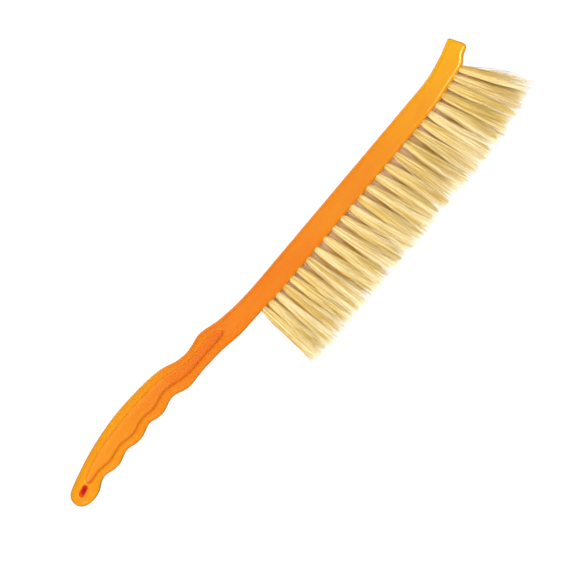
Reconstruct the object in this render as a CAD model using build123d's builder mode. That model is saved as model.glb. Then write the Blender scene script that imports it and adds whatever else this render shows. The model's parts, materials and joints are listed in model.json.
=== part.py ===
from build123d import *
import math
import os

# Bee brush, millimetres: a moulded handle with two staggered rows of stapled tufts.
# Origin: centre of the hang slot, on the middle plane of the handle.
# +X runs along the straight head towards its tip, +Z points away from the bristles,
# Y is the thickness, with the front row of tufts at -Y.

# ---- handle ----
body_width = 16.0          # thickness of grip and head, along Y
half_width = body_width / 2
edge_round = 3.0           # rounding of the long outer edges
head_top_z = 1.4           # back of the straight head
face_z = -14.95            # bristle face of the straight head
head_start_x = 184.8       # the head is straight from here
head_bend_x = 344.8        # and starts to turn up here
pocket_depth = 2.7         # weight-saving pocket on each side
pocket_floor_round = 1.3
pocket_rim_round = 0.8
slot_length = 8.8          # hang slot, end to end
slot_width = 4.0
slot_tilt = 15.0           # degrees, along the local run of the grip
slot_rim_round = 0.5

# ---- tuft holes, clamped roots and anchor staples ----
row_offset = 4.4           # each row of tufts, from the middle plane
hole_r = 2.6
hole_depth = 11.0
hole_overcut = 1.5         # the hole cutter starts this far outside the face
root_r = 2.53              # clamped bundle inside its hole
root_floor_gap = 0.15      # between a root and the bottom of its hole
root_recess = 1.0          # a root stops this far inside the face
fold_round = 1.3           # rounding of the folded end of a root
fold_min_height = 8.0      # the folded ends all lie more than this above face_z
staple_width = 5.8         # along Y, wider than the hole so that it bites
staple_height = 2.8
staple_thick = 0.5
staple_depth = 9.0         # from the face to the middle of the staple
staple_fit = 0.01          # room in the root on each side of the staple

# ---- free tufts ----
tuft_reach = 48.6          # free length of a tuft, from the bristle face
tip_half_y = 3.9           # half-width of a tuft's tips across the head
tip_half_x_max = 4.6       # limit on their half-width along the head
tip_fill = 0.465           # that half-width as a share of the tip pitch
tuft_splay = 2.0           # degrees, each row leans away from the middle plane
flex_drop = 2.75           # the flex axis of each row lies this far below the face
flex_gap = 0.15            # room between a free tuft and the face, all through the flex
flex_z = face_z - flex_drop
# (depth below the face, radius) of the round sections above the tips
tuft_sections = [(-1.0, 2.50), (14.0, 2.90)]

# ---- outlines in the XZ plane, as (x, z) ----
# Grip and neck: from the start of the bristle face, along the finger grooves,
# round the end of the grip, and back over the top to the start of the head.
grip_outline = [
    (174.8, -14.10), (166.78, -13.58), (156.76, -13.28), (148.71, -12.95), (141.69, -11.87),
    (131.74, -10.33), (120.77, -9.51), (111.79, -9.23), (103.27, -9.59), (98.03, -9.20),
    (93.23, -7.30), (88.92, -5.55), (84.82, -5.10), (80.49, -5.88), (76.99, -6.88),
    (73.3, -7.22), (69.66, -6.61), (66.27, -5.42), (62.79, -4.71), (59.2, -5.21),
    (54.5, -6.57), (50.28, -6.99), (46.24, -6.43), (42.95, -5.27), (39.59, -4.65),
    (35.53, -5.15), (31.15, -6.52), (27.18, -6.98), (23.25, -6.31), (19.29, -4.99),
    (15.62, -4.50), (11.24, -5.46), (7.27, -7.61), (2.96, -8.91), (-1.89, -9.15),
    (-6.6, -7.78), (-10.1, -4.28), (-10.74, -0.29), (-9.47, 3.20), (-6.98, 5.51),
    (-3.0, 7.16), (3.65, 9.08), (10.43, 10.80), (18.9, 12.75), (27.27, 14.18),
    (37.45, 15.56), (48.82, 16.59), (58.8, 16.89), (68.78, 16.49), (79.27, 15.81),
    (87.55, 14.91), (94.60, 13.58), (97.90, 12.62), (101.64, 11.05), (108.45, 8.36),
    (115.18, 7.11), (122.03, 7.45), (128.81, 8.60), (135.55, 7.88), (142.24, 5.76),
    (152.46, 3.73), (162.59, 2.38), (170.8, 1.80),
]

# Turned-up tip: its back from the head outwards, its underside from the end inwards.
tip_top = [(358.8, 1.55), (369.1, 2.80), (379.3, 5.08), (386.0, 6.92)]
tip_top_corner = (392.1, 8.85)
tip_bottom_corner = (397.3, -4.15)
tip_bottom = [
    (393.3, -5.60), (389.9, -6.90), (387.9, -8.25), (386.1, -9.75), (383.9, -10.75),
    (377.2, -11.80), (370.5, -12.60), (360.8, -13.85),
]
tip_top_direction = (6.1, 2.05)        # of the outline where it reaches the top corner
tip_bottom_direction = (-4.3, -1.5)    # and where it leaves the bottom corner
tip_top_round = 1.7
tip_bottom_round = 3.2

pocket_outline = [
    (8.12, 4.10), (11.78, 5.60), (17.09, 7.20), (24.33, 8.70), (32.91, 9.75),
    (49.6, 10.75), (66.5, 10.75), (77.0, 10.35), (87.7, 9.30), (96.3, 7.40),
    (103.8, 4.65), (110.8, 2.80), (117.8, 2.10), (124.8, 2.20), (131.0, 2.50),
    (136.6, 1.90), (140.0, 0.90), (142.2, -0.55), (142.9, -2.15), (142.1, -3.60),
    (140.0, -4.20), (132.2, -4.15), (118.6, -3.80), (105.3, -3.40), (97.4, -1.55),
    (91.0, 0.55), (85.1, 1.30), (79.2, 0.40), (73.7, -0.60), (68.2, 0.00),
    (63.1, 0.80), (57.2, 0.00), (51.0, -1.10), (45.0, -0.20), (39.4, 0.65),
    (33.4, -0.10), (27.99, -0.80), (22.59, -0.30), (16.51, 0.50), (11.3, 0.10),
    (7.92, -0.15), (6.33, 0.55), (5.8, 1.90), (6.48, 3.30),
]

# ---- tuft places: (x on the bristle face, lean towards the tip in degrees) ----
front_places = [
    (172.3, -4.0), (178.9, -2.0), (185.8, 0.0), (193.1, 1.6), (200.3, 2.8), (207.9, 3.6),
    (217.2, 4.2), (226.1, 4.6), (235.4, 4.9), (244.6, 5.1), (253.6, 5.3), (262.9, 5.4),
    (271.4, 5.5), (280.4, 5.6), (290.0, 5.7), (299.3, 5.8), (309.3, 5.9), (319.6, 6.2),
    (329.4, 6.6), (337.8, 7.2), (345.4, 8.2), (352.9, 10.0), (360.7, 12.5), (368.3, 15.5),
    (375.1, 19.0), (381.8, 23.5),
]
# The back row stands midway between neighbours of the front row.
back_places = [
    ((x1 + x2) / 2, (lean1 + lean2) / 2)
    for (x1, lean1), (x2, lean2) in zip(front_places, front_places[1:])
]
# Each tuft is (x, lean, side), with side the sign of its Y.
rows = {
    "front": [(x, lean, -1) for x, lean in front_places],
    "back": [(x, lean, 1) for x, lean in back_places],
}

# ---- curved ends of the handle's outline, and the bristle face they carry ----
grip_points = [(head_start_x, face_z)] + grip_outline + [(head_start_x, head_top_z)]
grip_ends = dict(tangents=[(-1, 0), (1, 0)], tangent_scalars=[1, 1])
tip_points = [tip_bottom_corner] + tip_bottom + [(head_bend_x, face_z)]
tip_ends = dict(tangents=[tip_bottom_direction, (-1, 0)])
with BuildLine():
    grip_curve = Spline(grip_points, **grip_ends)
    tip_curve = Spline(tip_points, **tip_ends)
# Samples from the first tenth of the grip curve and the whole underside of the tip.
face_samples = [grip_curve @ (i / 4000) for i in range(400)]
face_samples += [tip_curve @ (i / 500) for i in range(501)]
face_curve = sorted((p.X, p.Y) for p in face_samples if p.X > 160)


def face_height(x):
    """Height of the bristle face at x: straight along the head, rising at both ends."""
    low, high = next((a, b) for a, b in zip(face_curve, face_curve[1:]) if a[0] <= x <= b[0])
    return low[1] + (high[1] - low[1]) * (x - low[0]) / (high[0] - low[0])


def face_plane(x, lean, side, splay=0.0):
    """Plane across a tuft's axis where it leaves the face; its normal points to the tips.

    Holes lean along X only; the free tufts also splay away from the middle plane.
    """
    slope_x = math.tan(math.radians(lean))
    slope_y = side * math.tan(math.radians(splay))
    down = Vector(slope_x, slope_y, -1).normalized()
    root = (x, side * row_offset, face_height(x))
    return Plane(origin=root, x_dir=Vector(-down.Z, 0, down.X), z_dir=down)


def on_side(edge):
    """Whether an edge is centred on either flat side of the handle."""
    return abs(abs(edge.center().Y) - half_width) < 1e-3


def make_handle():
    """Grip, neck and head in one moulding."""
    with BuildPart() as handle:
        with BuildSketch(Plane.XZ) as side_view:
            with BuildLine():
                Spline(grip_points, **grip_ends)
                Line((head_start_x, head_top_z), (head_bend_x, head_top_z))
                Spline(
                    [(head_bend_x, head_top_z)] + tip_top + [tip_top_corner],
                    tangents=[(1, 0), tip_top_direction],
                )
                Line(tip_top_corner, tip_bottom_corner)
                Spline(tip_points, **tip_ends)
                Line((head_bend_x, face_z), (head_start_x, face_z))
            make_face()
            fillet(side_view.vertices().sort_by(Axis.X)[-1], tip_bottom_round)
            top_corner = side_view.vertices().filter_by(
                lambda v: abs(v.X - tip_top_corner[0]) < 0.01
            )
            fillet(top_corner, tip_top_round)
        extrude(amount=half_width, both=True)
        outer_edges = handle.edges().filter_by(
            lambda e: on_side(e) and abs(e.position_at(0).Y - e.position_at(1).Y) < 1e-3
        )
        fillet(outer_edges, edge_round)

        # shallow pocket on both sides, with a soft floor edge and a rounded rim
        for side in (-1, 1):
            with BuildSketch(Plane.XZ.offset(-side * half_width)):
                with BuildLine():
                    Spline(pocket_outline, periodic=True)
                make_face()
            extrude(amount=side * pocket_depth, mode=Mode.SUBTRACT)
            floor_y = side * (half_width - pocket_depth)
            floor = handle.faces().filter_by(Axis.Y).filter_by(
                lambda f: abs(f.center().Y - floor_y) < 1e-3
            )
            fillet(floor.edges(), pocket_floor_round)
            # the length limits leave out the outline of the handle itself
            mouth = handle.edges().filter_by(
                lambda e: abs(e.center().Y - side * half_width) < 1e-3
                and e.length > 200
                and e.bounding_box().size.X < 145
            )
            fillet(mouth, pocket_rim_round)

        # hang slot, right through, with rounded rims
        with BuildSketch(Plane.XZ):
            SlotOverall(slot_length, slot_width, rotation=slot_tilt)
        extrude(amount=half_width + 1, both=True, mode=Mode.SUBTRACT)
        slot_rims = handle.edges().filter_by(
            lambda e: on_side(e)
            and Vector(e.center().X, 0, e.center().Z).length < 6
            and e.bounding_box().size.Y < 1e-3
        )
        fillet(slot_rims, slot_rim_round)

        # blind tuft holes
        mouths = [face_plane(*tuft) for tuft in rows["front"] + rows["back"]]
        with Locations(*[Location(plane.offset(hole_overcut)) for plane in mouths]):
            Hole(radius=hole_r, depth=hole_depth + hole_overcut)
    return handle.part


def make_roots(tufts):
    """Clamped roots of one row, each slotted for its staple."""
    with BuildPart() as roots:
        for tuft in tufts:
            with BuildSketch(face_plane(*tuft).offset(root_floor_gap - hole_depth)):
                Circle(root_r)
            extrude(amount=hole_depth - root_floor_gap - root_recess)
        folds = roots.edges().filter_by(GeomType.CIRCLE).filter_by(
            lambda e: e.center().Z > face_z + fold_min_height
        )
        fillet(folds, fold_round)
        for tuft in tufts:
            with BuildSketch(face_plane(*tuft).offset(-staple_depth)):
                Rectangle(staple_thick + 2 * staple_fit, 2 * root_r + 1)
            extrude(amount=staple_height / 2 + staple_fit, both=True, mode=Mode.SUBTRACT)
    return roots.part


def make_staples(tufts):
    """Flat anchor staples of one row."""
    with BuildPart() as staples:
        for tuft in tufts:
            with BuildSketch(face_plane(*tuft).offset(-staple_depth)):
                Rectangle(staple_thick, staple_width)
            extrude(amount=staple_height / 2, both=True)
    return staples.part


def make_tuft(x, lean, side, tip_pitch):
    """Flaring bundle, its top rounded about the row's flex axis so that it can lean."""
    tip_half_x = min(tip_fill * tip_pitch * math.cos(math.radians(lean)), tip_half_x_max)
    # the lowest point of the face within 2.8 of the tuft limits the rounded top
    lowest_face = min(face_height(x + tenths / 10) for tenths in range(-28, 29))
    top_r = lowest_face - flex_z - flex_gap
    sections = [(depth, radius, radius) for depth, radius in tuft_sections]
    sections.append((tuft_reach, tip_half_x, tip_half_y))
    root_plane = face_plane(x, lean, side, tuft_splay)
    with BuildPart() as tuft:
        for depth, half_x, half_y in sections:
            with BuildSketch(root_plane.offset(depth)):
                Ellipse(half_x, half_y)
        loft()
        # keep what lies within the round top or below the flex axis
        with BuildSketch(Plane.YZ.offset(x - 15)):
            with Locations((side * row_offset, flex_z)):
                Circle(top_r)
                Rectangle(40, 80, align=(Align.CENTER, Align.MAX))
        extrude(amount=45, mode=Mode.INTERSECT)
    return tuft.part


def save(part, name):
    part.label = name
    export_step(part, f"parts/{name}.step")


os.makedirs("parts", exist_ok=True)
save(make_handle(), "handle")
for row, tufts in rows.items():
    save(make_roots(tufts), f"{row}_tuft_roots")
    save(make_staples(tufts), f"{row}_anchor_staples")
    tips = [x + tuft_reach * math.sin(math.radians(lean)) for x, lean, _ in tufts]
    for i, tuft in enumerate(tufts):
        near_tips = tips[max(i - 1, 0):i + 2]
        tip_pitch = min(b - a for a, b in zip(near_tips, near_tips[1:]))
        save(make_tuft(*tuft, tip_pitch), f"{row}_tuft_{i + 1:02d}")
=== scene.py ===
"""A brush with a glossy orange handle and two rows of cream bristle tufts.

The handle runs along X, from the grip end at low x to the tip at high x. The tufts hang
towards -Z, the front row on the camera's side. The camera looks along +Y from the front, with
the handle rising to the right of the frame.
"""

import json
import math

import bpy
import numpy as np
from mathutils import Matrix, Vector


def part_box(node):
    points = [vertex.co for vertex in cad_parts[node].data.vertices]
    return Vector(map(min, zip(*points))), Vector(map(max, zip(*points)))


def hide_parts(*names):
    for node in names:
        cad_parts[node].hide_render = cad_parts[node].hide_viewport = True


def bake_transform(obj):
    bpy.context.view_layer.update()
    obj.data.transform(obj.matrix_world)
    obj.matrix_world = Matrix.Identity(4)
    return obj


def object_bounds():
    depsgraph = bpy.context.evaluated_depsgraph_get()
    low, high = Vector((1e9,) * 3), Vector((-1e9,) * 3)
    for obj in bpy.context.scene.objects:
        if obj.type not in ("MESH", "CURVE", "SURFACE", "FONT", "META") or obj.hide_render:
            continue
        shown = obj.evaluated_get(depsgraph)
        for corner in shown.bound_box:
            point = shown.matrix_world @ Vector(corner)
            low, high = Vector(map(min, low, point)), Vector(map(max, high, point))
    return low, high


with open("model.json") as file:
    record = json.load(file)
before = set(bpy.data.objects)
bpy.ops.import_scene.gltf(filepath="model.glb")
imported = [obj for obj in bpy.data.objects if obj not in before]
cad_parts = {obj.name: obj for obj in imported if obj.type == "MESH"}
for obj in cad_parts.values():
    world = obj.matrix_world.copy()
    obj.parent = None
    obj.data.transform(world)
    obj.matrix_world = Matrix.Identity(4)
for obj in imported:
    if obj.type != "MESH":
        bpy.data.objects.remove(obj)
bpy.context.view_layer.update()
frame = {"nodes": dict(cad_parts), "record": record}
nodes = frame["nodes"]
record = frame["record"]
scene = bpy.context.scene
MM = 0.001

# plastic
PLASTIC_SHARE = 0.95            # plastic body colours are this share of full albedo
RECESS_END_X = 148 * MM         # the painted recess shade and light and the softened edges stop here
LIFT_END_X = 92 * MM            # the painted pale light on the recess walls stops here
HIGH_Z = 17 * MM                # height that the yellow of the upper side is measured by

# bristles
STRANDS, STEPS, SIDES = 170, 10, 5      # fibres per tuft, lengths per fibre, sides per fibre
STRAND_VERTS = (STEPS + 1) * SIDES + 2
GROUPS = 42                             # small bundles in a tuft
GOLDEN = math.pi * (3 - math.sqrt(5))
ROOT_R = 2.25 * MM
BACK_ROOT_EXTRA = 0.50 * MM             # the back row is this much wider at the root
ROOT_DEPTH = 1.3 * MM                   # fibres start this far above the CAD tuft
TIP_WIDEN = (1.24, 1.04)                # tip half-widths over the CAD ones: along X, along Y
FIBRE_R, FIBRE_R_SPREAD = 0.172, 0.016          # millimetres
FIBRE_R_LIMITS = (0.13, 0.21)
FIBRE_END = 0.22 * MM                   # the point beyond the last ring

# stage and camera
FLOOR_HALF = 6.0
FLOOR_GAP = 0.4 * MM
WHITE = (1, 1, 1, 1)
ROOM_TINT = (1.0, 0.985, 0.965, 1)
BACKDROP_STRENGTH = 1.05
FRAME_WIDTH = 396.045 * MM      # width of the view at y = 0
VIEW_CENTRE = Vector((193.099 * MM, 0, -21.664 * MM))
CAMERA_DISTANCE = 1.5
TURN_X, TURN_Z = 0.644, 0.765   # the X and Z shares of the frame's rightward direction


# --------------------------------------------------------------------------
# shader helpers
# --------------------------------------------------------------------------
def screen(*rgb, share=1.0):
    """8-bit screen colour to linear, scaled by share."""
    linear = []
    for level in rgb:
        level = level / 255.0
        curve = level / 12.92 if level <= 0.04045 else ((level + 0.055) / 1.055) ** 2.4
        linear.append(share * curve)
    return tuple(linear) + (1.0,)


def plastic_rgb(*rgb):
    return screen(*rgb, share=PLASTIC_SHARE)


class Shader:
    """Builds the node tree of a material or world; any input takes a value or a socket."""

    def __init__(self, owner):
        self.owner = owner
        owner.use_nodes = True
        self.tree = owner.node_tree
        self.tree.nodes.clear()

    def node(self, kind, inputs=None, **settings):
        made = self.tree.nodes.new("ShaderNode" + kind)
        for name, value in settings.items():
            setattr(made, name, value)
        for key, value in (inputs or {}).items():
            if isinstance(value, bpy.types.NodeSocket):
                self.tree.links.new(value, made.inputs[key])
            else:
                made.inputs[key].default_value = value
        return made

    def math(self, operation, *values, clamp=False):
        inputs = dict(enumerate(values))
        return self.node("Math", inputs, operation=operation, use_clamp=clamp).outputs[0]

    def mul(self, first, *others):
        for value in others:
            first = self.math("MULTIPLY", first, value)
        return first

    def add_part(self, total, value, share, clamp=False):
        """total + value * share"""
        return self.math("ADD", total, self.mul(value, share), clamp=clamp)

    def inverse(self, value, clamp=False):
        return self.math("SUBTRACT", 1.0, value, clamp=clamp)

    def half_up(self, value):
        """-1..1 to 0..1"""
        return self.math("MULTIPLY_ADD", value, 0.5, 0.5)

    def ramp(self, amount, stops):
        """Colour ramp; stops are (place, linear colour)."""
        made = self.node("ValToRGB", {0: amount})
        elements = made.color_ramp.elements
        while len(elements) < len(stops):
            elements.new(0.5)
        for element, (place, colour) in zip(elements, stops):
            element.position = place
            element.color = colour
        return made.outputs[0]

    def fade(self, amount, *stops):
        """Grey ramp; stops are (place, level)."""
        return self.ramp(amount, [(place, (v, v, v, 1.0)) for place, v in stops])

    def tint(self, base, amount, colour):
        """Move base towards colour by amount."""
        inputs = {0: amount, 6: base, 7: colour}
        return self.node("Mix", inputs, data_type="RGBA", clamp_factor=True).outputs[2]

    def scaled(self, vector, scale, turn=(0, 0, 0)):
        inputs = {"Scale": scale, "Rotation": turn, "Vector": vector}
        return self.node("Mapping", inputs).outputs[0]

    def noise(self, vector, scale, detail=2.0, roughness=0.5, distortion=0.0, turn=(0, 0, 0)):
        """Noise with its frequency per metre given for each axis."""
        return self.node("TexNoise", {
            "Vector": self.scaled(vector, scale, turn), "Scale": 1.0, "Detail": detail,
            "Roughness": roughness, "Distortion": distortion,
        }).outputs["Fac"]

    def vector(self, operation, *values, out="Vector"):
        inputs = dict(enumerate(values))
        return self.node("VectorMath", inputs, operation=operation).outputs[out]

    def split(self, vector):
        return self.node("SeparateXYZ", {0: vector}).outputs

    def position(self):
        return self.node("TexCoord").outputs["Object"]

    def attribute(self, name, out="Fac"):
        return self.node("Attribute", attribute_name=name).outputs[out]

    def bump(self, height, strength, distance, **normal):
        inputs = {"Height": height, "Strength": strength, "Distance": distance, **normal}
        return self.node("Bump", inputs).outputs[0]

    def surface(self, kind, inputs):
        return self.node(kind, inputs).outputs[0]

    def mix_surfaces(self, amount, first, second):
        return self.surface("MixShader", {0: amount, 1: first, 2: second})

    def finish(self, surface, kind="OutputMaterial"):
        self.node(kind, {"Surface": surface})
        return self.owner


def new_material(name):
    return Shader(bpy.data.materials.new(name))


# --------------------------------------------------------------------------
# plastic
# --------------------------------------------------------------------------
# share of the handle's length from the grip end, then red, green, blue
BODY_COLOURS = [
    (0.00, 253, 170, 7), (0.10, 252, 158, 8), (0.17, 250, 148, 8), (0.25, 248, 139, 9),
    (0.32, 246, 132, 10), (0.41, 247, 132, 10), (0.53, 246, 134, 10), (0.60, 247, 139, 9),
    (0.70, 246, 144, 9), (0.80, 249, 155, 5), (0.865, 251, 164, 4), (0.914, 252, 177, 2),
    (0.956, 255, 184, 2), (1.00, 255, 192, 2),
]
# painted shade of the pocket floor, by the same shares of the handle's length
POCKET_SHADE_COLOURS = [
    (0.04, 251, 166, 8), (0.12, 251, 154, 8), (0.19, 249, 147, 9), (0.25, 246, 132, 10),
    (0.29, 243, 117, 10), (0.34, 241, 108, 10), (0.38, 242, 118, 13), (0.40, 246, 130, 10),
]


def plastic_pigment(mat, pos, x, z, depth):
    """Orange that changes along the handle, with drift and streaks from the melt."""
    low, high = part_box("handle")
    along = mat.math("DIVIDE", mat.math("SUBTRACT", x, low.x), high.x - low.x, clamp=True)
    base = mat.ramp(along, [(at, plastic_rgb(*rgb)) for at, *rgb in BODY_COLOURS])
    # painted shade: the pocket floor, which is thinner, is painted redder and deeper towards the
    # neck
    recess = mat.fade(mat.math("DIVIDE", depth, high.y), (0.60, 1), (0.90, 0))
    pocket_shade = mat.ramp(along, [(at, plastic_rgb(*rgb)) for at, *rgb in POCKET_SHADE_COLOURS])
    base = mat.tint(base, mat.mul(recess, 0.85), pocket_shade)
    # the upper side outside the pocket is yellower
    raised = mat.fade(mat.math("DIVIDE", z, HIGH_Z), (0.40, 0), (0.85, 0.85))
    base = mat.tint(base, mat.mul(raised, mat.inverse(recess)), plastic_rgb(252, 172, 10))
    # slow drift, stretched along the handle
    drift = mat.noise(pos, (14, 40, 40), detail=3.0, roughness=0.55, distortion=0.4)
    base = mat.tint(base, mat.fade(drift, (0.42, 0), (0.75, 0.30)), plastic_rgb(246, 122, 10))
    glow = mat.noise(pos, (26, 90, 90))
    base = mat.tint(base, mat.fade(glow, (0.50, 0), (0.80, 0.28)), plastic_rgb(255, 168, 9))
    # fine flow streaks
    streak = mat.noise(pos, (60, 900, 900), detail=4.0, roughness=0.6)
    return mat.tint(base, mat.fade(streak, (0.45, 0), (0.70, 0.07)), plastic_rgb(226, 96, 6))


def plastic_painted_shade_and_light(mat, base, x, inside, normal, bevel_z):
    """Painted shade and light: tints by how enclosed a place is and which way it faces."""
    occlusion = mat.node("AmbientOcclusion", {"Distance": 4.6 * MM}, samples=6)
    closed = mat.inverse(occlusion.outputs["AO"], clamp=True)
    # painted shade: where light is caught between recess walls it is painted deeper and redder,
    # most where they face up
    upward = mat.fade(mat.half_up(bevel_z), (0.42, 0.22), (0.52, 0.40), (0.66, 1.0))
    deep = mat.mul(mat.fade(closed, (0.04, 0), (0.34, 1)), upward, inside, 0.80)
    base = mat.tint(base, deep, screen(255, 128, 44))
    # painted light: and paler where they face down
    wall_painted_light = mat.mul(mat.fade(closed, (0.04, 0), (0.30, 0.8)), mat.inverse(upward),
                   mat.math("GREATER_THAN", LIFT_END_X, x))
    base = mat.tint(base, wall_painted_light, screen(255, 176, 56))
    # painted light: the overhanging upper wall of the pocket is painted paler to keep it from going
    # dark
    downward = mat.mul(mat.split(normal)["Z"], -1.0)
    over = mat.mul(mat.fade(downward, (0.12, 0), (0.50, 1)),
                   mat.fade(closed, (0.06, 0), (0.22, 1)), inside, 0.62)
    base = mat.tint(base, over, screen(255, 178, 66))
    # painted shade: the body colour is painted darker and browner where an open surface turns away,
    # more where it faces down
    facing = mat.node("LayerWeight", {"Blend": 0.5}).outputs["Facing"]
    turned = mat.mul(mat.fade(facing, (0.30, 0), (0.80, 1.0)),
                     mat.fade(closed, (0.05, 1), (0.20, 0)),
                     mat.fade(mat.half_up(bevel_z), (0.30, 1.0), (0.55, 0.75)), 0.78)
    return mat.tint(base, turned, plastic_rgb(206, 146, 40))


def plastic_material():
    mat = new_material("orange_plastic")
    pos = mat.position()
    x, y, z = mat.split(pos)
    depth = mat.math("ABSOLUTE", y)
    normal = mat.node("NewGeometry").outputs["Normal"]
    bevel = mat.node("Bevel", {"Radius": 2.4 * MM}, samples=8).outputs[0]
    inside = mat.math("GREATER_THAN", RECESS_END_X, x)
    base = plastic_pigment(mat, pos, x, z, depth)
    base = plastic_painted_shade_and_light(mat, base, x, inside, normal, mat.split(bevel)["Z"])
    # handling wear along the edges: a touch paler and duller
    edge = mat.inverse(mat.vector("DOT_PRODUCT", bevel, normal, out="Value"), clamp=True)
    patch = mat.noise(pos, (110, 110, 110), detail=3.0, roughness=0.6)
    wear = mat.mul(mat.fade(edge, (0.02, 0), (0.16, 1)), mat.fade(patch, (0.42, 0), (0.62, 1)))
    base = mat.tint(base, mat.mul(wear, 0.08), plastic_rgb(255, 196, 92))
    # roughness: smooth, with smudges, hairline scuffs and wear
    smudge = mat.noise(pos, (90, 90, 90), detail=4.0, roughness=0.6)
    hair = mat.noise(pos, (150, 2600, 2600), turn=(0, 0.5, 0))
    rough = mat.add_part(0.17, smudge, share=0.12)
    rough = mat.add_part(rough, mat.fade(hair, (0.60, 0), (0.72, 1)), share=0.08)
    rough = mat.add_part(rough, wear, share=0.10, clamp=True)
    # relief: sink waviness, orange peel, hairlines and the parting line at y = 0
    waves = mat.noise(pos, (60, 60, 60))
    peel = mat.noise(pos, (900, 900, 900))
    seam = mat.fade(mat.math("DIVIDE", depth, 1 * MM), (0.0, 1), (0.14, 1), (0.30, 0))
    height = mat.mul(waves, 0.16)
    height = mat.add_part(height, peel, share=0.010)
    height = mat.add_part(height, mat.fade(hair, (0.62, 0), (0.74, 1)), share=-0.008)
    height = mat.add_part(height, seam, share=0.10)
    # edges are softened only on the recess side
    soft = mat.node("Mix", {0: inside, 4: normal, 5: bevel}, data_type="VECTOR").outputs[1]
    return mat.finish(mat.surface("BsdfPrincipled", {
        "Base Color": base,
        "Roughness": rough,
        "Normal": mat.bump(height, strength=0.5, distance=1.0 * MM, Normal=soft),
        "IOR": 1.46,
        "Specular IOR Level": 0.42,
        "Subsurface Weight": 0.12,
        "Subsurface Radius": (1.0, 0.28, 0.06),
        "Subsurface Scale": 2.5 * MM,
        "Coat Weight": 0.06,
        "Coat Roughness": 0.12,
    }))


# --------------------------------------------------------------------------
# fibre and steel
# --------------------------------------------------------------------------
# share of the fibre's length from root to tip, then red, green, blue
FIBRE_COLOURS = [
    (0.00, 236, 212, 152), (0.08, 241, 228, 170), (0.22, 246, 232, 172), (0.45, 250, 238, 176),
    (0.64, 255, 252, 208), (0.82, 255, 253, 228), (1.00, 247, 243, 224),
]
THROUGH_COLOURS = [(0.0, 250, 216, 132), (0.60, 252, 230, 160), (1.0, 255, 252, 236)]


def fibre_colour(mat, pos, along, strand):
    """Cream, varied by tuft, bundle, lock and fibre, with painted shade between the rows and on the
    outer fibres and painted light on the back-row roots.
    """
    clump, rim = mat.attribute("clump_rnd"), mat.attribute("strand_rim")
    tuft, behind = mat.attribute("tuft_rnd"), mat.attribute("row_back")
    group = mat.attribute("group_rnd")
    base = mat.ramp(along, [(at, screen(*rgb)) for at, *rgb in FIBRE_COLOURS])
    base = mat.tint(base, mat.fade(tuft, (0.0, 0.45), (0.5, 0.0)), screen(246, 226, 130))
    base = mat.tint(base, mat.fade(tuft, (0.6, 0.0), (1.0, 0.40)), screen(252, 226, 178))
    dark = mat.fade(strand, (0.0, 0.70), (0.32, 0.06), (1.0, 0.0))
    base = mat.tint(base, dark, screen(222, 188, 98))
    base = mat.tint(base, mat.fade(strand, (0.70, 0.0), (1.0, 0.60)), screen(255, 244, 206))
    # the darker tints weaken towards the tips
    fresh = mat.fade(along, (0.60, 1.0), (1.0, 0.62))
    dark = mat.mul(fresh, mat.fade(group, (0.0, 1.0), (0.26, 0.75), (0.44, 0.0)))
    base = mat.tint(base, dark, screen(204, 170, 82))
    pale_tone_and_painted_light = mat.fade(group, (0.56, 0.0), (0.80, 0.80), (1.0, 1.0))
    base = mat.tint(base, pale_tone_and_painted_light, screen(255, 250, 216))
    # painted shade: the sides that face the other row are painted deeper
    outward = mat.split(mat.attribute("bundle_n", "Vector"))
    inner = mat.mul(outward["Y"], mat.math("MULTIPLY_ADD", behind, -2.0, 1.0))
    between_rows_painted_shade = mat.mul(mat.fade(inner, (0.0, 0), (0.55, 0.75)),
                     mat.fade(along, (0.10, 0.3), (0.32, 1), (0.62, 0.9), (0.88, 0)))
    base = mat.tint(base, between_rows_painted_shade, screen(204, 150, 52))
    # painted shade on the outer fibres of the tuft
    edge = mat.mul(mat.fade(rim, (0.70, 0), (1.0, 0.60)),
                   mat.fade(along, (0.0, 0.8), (0.60, 1), (0.92, 0.15)), fresh)
    base = mat.tint(base, edge, screen(222, 186, 92))
    # some locks turn ochre towards the tips
    ochre = mat.mul(mat.fade(clump, (0.70, 0), (0.84, 0.85)),
                    mat.fade(along, (0.40, 0), (0.85, 1)))
    base = mat.tint(base, ochre, screen(204, 174, 66))
    # painted light: the back row's roots are painted paler on the side towards the front row
    pale_tone_and_painted_light = mat.mul(behind, mat.fade(along, (0.05, 0.85), (0.38, 0)),
                   mat.fade(tuft, (0.15, 0.35), (0.55, 1.0)),
                   mat.fade(inner, (0.05, 0), (0.40, 1)))
    base = mat.tint(base, pale_tone_and_painted_light, screen(255, 232, 212))
    fleck = mat.noise(pos, (900, 900, 220), detail=3.0, roughness=0.6)
    fleck = mat.mul(fresh, mat.fade(fleck, (0.42, 0), (0.66, 0.38)))
    return mat.tint(base, fleck, screen(222, 192, 112))


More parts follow.
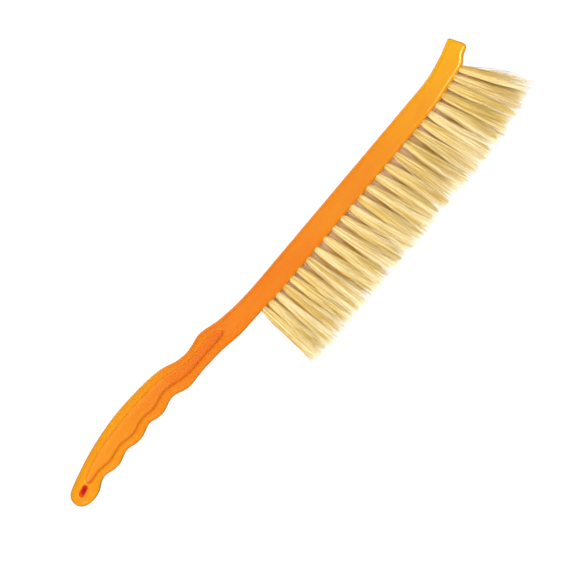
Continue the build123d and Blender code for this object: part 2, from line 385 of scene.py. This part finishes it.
def bristle_material():
    """Cream fibre; reads the attributes that make_tuft writes."""
    mat = new_material("bristle_fibre")
    pos = mat.position()
    along, strand = mat.attribute("strand_u"), mat.attribute("strand_rnd")
    base = fibre_colour(mat, pos, along, strand)
    # shaded by the roundness of the fibre, of its tuft and of its small bundle
    normal = mat.node("NewGeometry").outputs["Normal"]
    own = mat.node("VectorMath", {0: normal, "Scale": 1.5}, operation="SCALE").outputs[0]
    round_all = mat.vector("ADD", own, mat.attribute("bundle_n", "Vector"))
    round_all = mat.vector("ADD", round_all, mat.attribute("group_n", "Vector"))
    round_all = mat.vector("NORMALIZE", round_all)
    grain = mat.noise(pos, (7000, 7000, 1600))
    body = mat.surface("BsdfPrincipled", {
        "Base Color": base,
        "Roughness": mat.add_part(0.42, strand, share=0.22),
        "Normal": mat.bump(grain, strength=0.2, distance=0.05 * MM, Normal=round_all),
        "IOR": 1.45,
    })
    # light passes through the thin fibres and comes out warm
    through = mat.ramp(along, [(at, screen(*rgb)) for at, *rgb in THROUGH_COLOURS])
    thin = mat.surface("BsdfTranslucent", {"Color": mat.tint(base, 0.5, through)})
    return mat.finish(mat.mix_surfaces(mat.fade(along, (0.40, 0.24), (1.0, 0.42)), body, thin))


def steel_material():
    """Drawn strip for the anchor staples."""
    mat = new_material("staple_steel")
    drawn = mat.noise(mat.position(), (8000, 600, 8000), detail=3.0, roughness=0.6)
    return mat.finish(mat.surface("BsdfPrincipled", {
        "Metallic": 1.0,
        "Base Color": mat.ramp(drawn, [(0.3, screen(150, 150, 154)), (0.7, screen(196, 196, 200))]),
        "Roughness": mat.add_part(0.28, drawn, share=0.2),
        "Normal": mat.bump(drawn, strength=0.3, distance=0.05 * MM),
    }))


plastic, fibre, steel = plastic_material(), bristle_material(), steel_material()
for name, ob in nodes.items():
    material = plastic if name == "handle" else steel if "staple" in name else fibre
    if not ob.material_slots:
        ob.data.materials.append(material)
    for slot in ob.material_slots:
        slot.material = material


# --------------------------------------------------------------------------
# bristles
# --------------------------------------------------------------------------
fibres = bpy.data.collections.new("fibres")      # the bristles have fill lights of their own


def smooth(start, end, value):
    share = min(max((value - start) / (end - start), 0.0), 1.0)
    return share * share * (3 - 2 * share)


def sideways(pairs, cross):
    """Pairs of amounts along the tuft's two cross directions, as vectors."""
    return pairs[:, :1] * cross[0] + pairs[:, 1:] * cross[1]


def nearest(points, centres):
    return np.argmin(((points[:, None] - centres[None]) ** 2).sum(2), 1)


def tuft_frame(node):
    """From a CAD tuft: a start just inside the hole, the middle of the tips, the direction
    down, the cross directions (near X, near Y) and the half-widths at the tips."""
    points = np.array([v.co for v in nodes[node].data.vertices], float)
    heights = points[:, 2]
    top = points[heights > heights.max() - 2.0 * MM]
    head = (top.min(0) + top.max(0)) / 2
    bottom = points[heights < heights.min() + 6.0 * MM]
    tip = (bottom.min(0) + bottom.max(0)) / 2
    # each pass centres the axis better on the end ring
    for _ in range(3):
        down = (tip - head) / np.linalg.norm(tip - head)
        travel = (points - head) @ down
        ring = points[travel > travel.max() - 0.25 * MM]
        cross_x = np.cross((0, 1, 0), down)
        cross_x /= np.linalg.norm(cross_x)
        cross_y = np.cross(down, cross_x)
        p, q = (ring - head) @ cross_x, (ring - head) @ cross_y
        tip = (head + cross_x * (p.min() + p.max()) / 2 + cross_y * (q.min() + q.max()) / 2
               + down * travel.max())
    half = np.array([(p.max() - p.min()) / 2, (q.max() - q.min()) / 2])
    start = head + down * ((heights.max() + ROOT_DEPTH - head[2]) / down[2])
    return start, tip, down, (cross_x, cross_y), half


def fibre_lengths(rng, root, group, lock, locks):
    """Uneven ends, as shares of the tuft's length."""
    # by tuft, by fibre and by lock
    length = (1.0 + rng.normal(0, 0.010) + rng.normal(0, 0.010, STRANDS)
              + rng.normal(0, 0.026, locks)[lock])
    length -= (rng.random(GROUPS) ** 2.5 * 0.16)[group]
    # shorter towards the sides of the tuft
    length -= 0.045 * np.abs(root[:, 0]) ** 3 * rng.uniform(0.2, 1.6, STRANDS)
    # a share of broken fibres
    broken_share = rng.choice([0.45, 0.62, 0.80], p=[0.40, 0.35, 0.25])
    broken = rng.random(STRANDS) < broken_share
    length[broken] -= 0.30 * rng.random(broken.sum()) ** 1.5
    return np.minimum(length, 1.035)


def strand_faces():
    """Quads and triangles of all fibres; each fibre ends with its root and tip points."""
    sides = [(s, (s + 1) % SIDES) for s in range(SIDES)]
    quads, tris = [], []
    for j in range(STEPS):
        near, far = j * SIDES, (j + 1) * SIDES
        for s, after in sides:
            quads.append((near + s, near + after, far + after, far + s))
    for s, after in sides:
        tris.append((after, s, STRAND_VERTS - 2))
        tris.append((STEPS * SIDES + s, STEPS * SIDES + after, STRAND_VERTS - 1))
    first = (np.arange(STRANDS) * STRAND_VERTS)[:, None, None]
    return (np.array(quads)[None] + first).reshape(-1, 4), (
        np.array(tris)[None] + first).reshape(-1, 3)


def tube_mesh(name, path, radius, taper, cross):
    """A closed tube along each fibre's path."""
    turn = np.arange(SIDES) * 2 * math.pi / SIDES
    ring = sideways(np.stack([np.cos(turn), np.sin(turn)], 1), cross)
    rings = path[:, :, None, :] + (
        radius[:, None] * taper[None])[:, :, None, None] * ring[None, None]
    last = path[:, -1] - path[:, -2]
    end = path[:, -1] + last / np.linalg.norm(last, axis=1)[:, None] * FIBRE_END
    verts = np.concatenate([rings.reshape(STRANDS, -1, 3), path[:, :1], end[:, None]], 1)
    verts = verts.reshape(-1, 3)
    quads, tris = strand_faces()
    mesh = bpy.data.meshes.new(name)
    mesh.vertices.add(len(verts))
    mesh.vertices.foreach_set("co", verts.astype(np.float32).ravel())
    loops = np.concatenate([quads.ravel(), tris.ravel()]).astype(np.int32)
    mesh.loops.add(len(loops))
    mesh.loops.foreach_set("vertex_index", loops)
    starts = np.concatenate([np.arange(len(quads)) * 4, len(quads) * 4 + np.arange(len(tris)) * 3])
    mesh.polygons.add(len(starts))
    mesh.polygons.foreach_set("loop_start", starts.astype(np.int32))
    mesh.polygons.foreach_set("use_smooth", np.ones(len(starts), bool))
    mesh.update(calc_edges=True)
    mesh.validate()
    return mesh


def make_tuft(name, node, seed):
    rng = np.random.default_rng(seed)
    start, tip, down, cross, half_tip = tuft_frame(node)
    front = node.startswith("front")
    count = np.arange(STRANDS) + 0.5
    angle = count * GOLDEN + rng.uniform(0, 6.28)
    rim = (count / STRANDS) ** 0.44
    root = np.stack([rim * np.cos(angle), rim * np.sin(angle)], 1)
    goal = root + rng.normal(0, 0.14, (STRANDS, 2))
    # small bundles that keep together all the way down
    centres = root[rng.choice(STRANDS, GROUPS, replace=False)]
    group = nearest(root, centres)
    draw = (centres[group] - root) * rng.uniform(0.25, 0.80, GROUPS)[group][:, None]
    # locks of fibres that cling together towards the tips
    locks = rng.integers(7, 12)
    lock_angle = rng.uniform(0, 6.28, locks)
    lock_r = np.sqrt(rng.uniform(0.05, 1.0, locks))
    lock_at = np.stack([lock_r * np.cos(lock_angle), lock_r * np.sin(lock_angle)], 1)
    lock = nearest(goal, lock_at)
    pull = rng.uniform(0.05, 0.50, locks)[lock]
    cling = (lock_at[lock] - goal) * pull[:, None]
    stray = rng.random(STRANDS) < 0.14
    goal[stray] *= rng.uniform(1.04, 1.34, (stray.sum(), 1))
    # the whole tuft leans and bows a little its own way
    lean = rng.normal(0, (1.05, 0.5), 2) * MM
    bow = rng.normal(0, (0.60, 0.35), 2) * MM
    length = fibre_lengths(rng, root, group, lock, locks)
    along = np.linspace(0, 1, STEPS + 1) ** 0.92
    wave = rng.normal(0, 0.20 * MM, (STRANDS, 2, 2))
    half_root = ROOT_R if front else ROOT_R + BACK_ROOT_EXTRA
    half_tip = half_tip * TIP_WIDEN
    path, from_tuft, from_group = np.zeros((3, STRANDS, STEPS + 1, 3))
    group_offset = (root - centres[group]) * 4.2
    for j, at in enumerate(along):
        flare = at**0.86
        half = half_root * (1 - flare) + half_tip * flare
        shift = smooth(0.0, 1.0, at)
        place = (root * (1 - shift) + goal * shift + draw * smooth(0.10, 0.45, at)
                 + cling * smooth(0.45, 1.0, at))
        offset = (place * half + wave[:, 0] * math.sin(math.pi * at)
                  + wave[:, 1] * math.sin(2 * math.pi * at) * 0.6)
        offset = offset + lean * at**1.6 + bow * math.sin(math.pi * at) * 0.6
        path[:, j] = (start + (tip - start) * (at * length)[:, None]
                      + offset[:, :1] * cross[0] + offset[:, 1:] * cross[1])
        from_tuft[:, j] = sideways(place, cross)
        from_group[:, j] = sideways(group_offset, cross) * smooth(0.06, 0.34, at)
    radius = rng.normal(FIBRE_R, FIBRE_R_SPREAD, STRANDS).clip(*FIBRE_R_LIMITS) * MM
    mesh = tube_mesh(name, path, radius, 1.0 - 0.58 * along**1.6, cross)

    def per_strand(values):
        return np.repeat(values, STRAND_VERTS)

    total = STRANDS * STRAND_VERTS
    for key, values in (
        # 0 at the root, 1 at the tip
        ("strand_u", np.tile(np.concatenate([np.repeat(along, SIDES), [0.0, 1.0]]), STRANDS)),
        ("strand_rnd", per_strand(rng.random(STRANDS))),
        ("clump_rnd", per_strand(rng.random(locks)[lock])),
        ("strand_rim", per_strand(rim)),        # 1 at the outside of the tuft
        ("group_rnd", per_strand(rng.random(GROUPS)[group])),
        ("tuft_rnd", np.full(total, rng.random())),
        ("row_back", np.full(total, 0.0 if front else 1.0)),
    ):
        data = mesh.attributes.new(key, "FLOAT", "POINT").data
        data.foreach_set("value", values.astype(np.float32))
    # directions out from the tuft's axis and from the middle of the small bundle
    for key, out in (("bundle_n", from_tuft), ("group_n", from_group)):
        out = np.concatenate([np.repeat(out, SIDES, axis=1), out[:, :1], out[:, -1:]], 1)
        data = mesh.attributes.new(key, "FLOAT_VECTOR", "POINT").data
        data.foreach_set("vector", out.reshape(-1, 3).astype(np.float32).ravel())
    ob = bpy.data.objects.new(name, mesh)
    scene.collection.objects.link(ob)
    mesh.materials.append(fibre)
    fibres.objects.link(ob)
    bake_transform(ob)
    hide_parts(node)


for body, first_seed in (("front_bristles", 11), ("back_bristles", 1011)):
    for i, node in enumerate(record["behaviour"]["bodies"][body]):
        make_tuft(node.replace("tuft", "bristles"), node, first_seed + i * 7)


# --------------------------------------------------------------------------
# stage
# --------------------------------------------------------------------------
def make_sheet(name, corners, at):
    mesh = bpy.data.meshes.new(name)
    mesh.from_pydata(corners, [], [(0, 1, 2, 3)])
    ob = bpy.data.objects.new(name, mesh)
    scene.collection.objects.link(ob)
    ob.location = at
    ob.visible_shadow = False
    return ob


def make_floor(at):
    """Pale floor that glows white to the camera where it is seen at a low angle."""
    h = FLOOR_HALF
    floor = make_sheet("floor", [(-h, -h, 0), (h, -h, 0), (h, h, 0), (-h, h, 0)], at)
    mat = new_material("pale_floor")
    geometry = mat.node("NewGeometry").outputs
    slope = mat.vector("DOT_PRODUCT", geometry["Incoming"], geometry["Normal"], out="Value")
    steep = mat.fade(slope, (0.19, 0), (0.25, 1))
    flat = mat.mul(mat.inverse(steep), mat.node("LightPath").outputs["Is Camera Ray"])
    matte = mat.surface("BsdfDiffuse", {"Color": (0.93, 0.93, 0.92, 1)})
    white = mat.surface("Emission", {"Color": WHITE, "Strength": BACKDROP_STRENGTH})
    floor.data.materials.append(mat.finish(mat.mix_surfaces(flat, matte, white)))
    floor.visible_glossy = False


def make_world():
    """White to the camera, a soft warm fill on surfaces and almost dark in reflections."""
    scene.world = bpy.data.worlds.new("studio")
    sky = Shader(scene.world)
    rays = sky.node("LightPath").outputs
    seen = sky.surface("Background", {"Color": WHITE, "Strength": BACKDROP_STRENGTH})
    fill = sky.surface("Background", {"Color": ROOM_TINT, "Strength": 0.70})
    mirrored = sky.surface("Background", {"Color": ROOM_TINT, "Strength": 0.035})
    room = sky.mix_surfaces(rays["Is Glossy Ray"], fill, mirrored)
    sky.finish(sky.mix_surfaces(rays["Is Camera Ray"], room, seen), "OutputWorld")


def area(name, aim, offset, size, power, colour=(1, 1, 1), glossy=True, diffuse=True):
    """Square lamp at aim + offset, turned towards aim."""
    data = bpy.data.lights.new(name, "AREA")
    data.energy = power
    data.color = colour
    data.shape = "RECTANGLE"
    data.size = data.size_y = size
    ob = bpy.data.objects.new(name, data)
    scene.collection.objects.link(ob)
    at = aim + Vector(offset)
    ob.location = at
    ob.rotation_mode = "QUATERNION"
    ob.rotation_quaternion = (aim - at).to_track_quat("-Z", "Y")
    ob.visible_camera = False
    ob.visible_glossy = glossy
    ob.visible_diffuse = diffuse
    return ob


# fills that light only the bristles: name, offset from the middle, power, casts shadows
FIBRE_FILLS = (
    ("fibre_front", (-0.80, -1.12, -0.12), 17.3, True),
    ("fibre_reach", (0.0, -1.30, -0.30), 13.5, False),
    ("fibre_low", (0.2, -0.55, -1.10), 11.0, True),
    ("fibre_back", (0.0, 1.2, -0.3), 6.0, True),
    ("fibre_reach_back", (0.0, 1.3, -0.3), 4.0, False),
)


def make_lights(middle, grip_end, tip_end):
    area("key_front", middle, (0.0, -1.28, -0.28), size=0.9, power=8.1, glossy=False)
    for name, offset, power, shadows in FIBRE_FILLS:
        fill = area(name, middle, offset, size=1.1, power=power, glossy=False)
        fill.data.use_shadow = shadows
        fill.light_linking.receiver_collection = fibres
    area("top_soft", middle, (0.15, 0.15, 1.1), size=0.8, power=2.4)
    area("back_soft", middle, (0.1, 0.95, 0.45), size=0.8, power=5.5)
    # low reflections on the tip and on the end of the grip
    area("tip_glint", tip_end, (0.46, -1.02, -0.52), size=0.55, power=26.0,
         colour=(1.0, 0.84, 0.42), diffuse=False)
    area("grip_glint", grip_end, (-0.50, -0.95, -0.55), size=0.60, power=5.0,
         colour=(1.0, 0.86, 0.45), diffuse=False)


def make_slot_shade_card():
    """Small glowing card at the hang slot, seen only from -Y: painted shade, the deep red of light
    trapped in the slot.
    """
    slot = next(m for m in record["mounts"] if m["name"] == "hang_slot")
    half_x = slot["dims"]["slot_length_mm"] * MM / 2
    half_z = slot["dims"]["hole_r_mm"] * MM
    card = make_sheet("slot_painted_shade", [(-half_x, 0, -half_z), (half_x, 0, -half_z),
                                    (half_x, 0, half_z), (-half_x, 0, half_z)],
                      Vector(slot["pos_m"]) + Vector((0, -2 * MM, 0)))
    card.rotation_euler = (0, -math.radians(15), 0)
    mat = new_material("slot_painted_shade")
    behind = mat.node("NewGeometry").outputs["Backfacing"]
    place = mat.scaled(mat.position(), (1 / half_x, 1, 1 / half_z))
    from_middle = mat.vector("LENGTH", place, out="Value")
    # painted shade: dark red in the middle, more orange towards the edges, glowing on its own
    red = mat.ramp(from_middle, [(0.15, screen(196, 24, 30)), (0.60, screen(208, 42, 30)),
                                 (1.0, screen(232, 92, 34))])
    glow = mat.surface("Emission", {"Color": red, "Strength": 1.0})
    clear = mat.surface("BsdfTransparent", {})
    card.data.materials.append(mat.finish(mat.mix_surfaces(behind, glow, clear)))


def make_camera():
    right = Vector((TURN_X, 0, -TURN_Z)).normalized()
    up = Vector((TURN_Z, 0, TURN_X)).normalized()
    back = right.cross(up)
    data = bpy.data.cameras.new("camera")
    data.sensor_fit = "HORIZONTAL"
    data.sensor_width = 36
    data.lens = 36 * CAMERA_DISTANCE / FRAME_WIDTH
    data.clip_start, data.clip_end = 0.05, 30
    camera = bpy.data.objects.new("camera", data)
    scene.collection.objects.link(camera)
    turn = Matrix((right, up, back)).transposed().to_4x4()
    camera.matrix_world = Matrix.Translation(VIEW_CENTRE + back * CAMERA_DISTANCE) @ turn
    scene.camera = camera


low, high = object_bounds()
middle = (low + high) / 2
make_floor((middle.x, 0, low.z - FLOOR_GAP))
make_world()
make_lights(Vector((middle.x, 0, middle.z)), Vector((low.x, 0, 0)), Vector((high.x, 0, 0)))
make_slot_shade_card()
make_camera()
scene.view_settings.view_transform = "Standard"
scene.view_settings.look = "None"
scene.view_settings.exposure = 0.0
scene.view_settings.gamma = 1.0
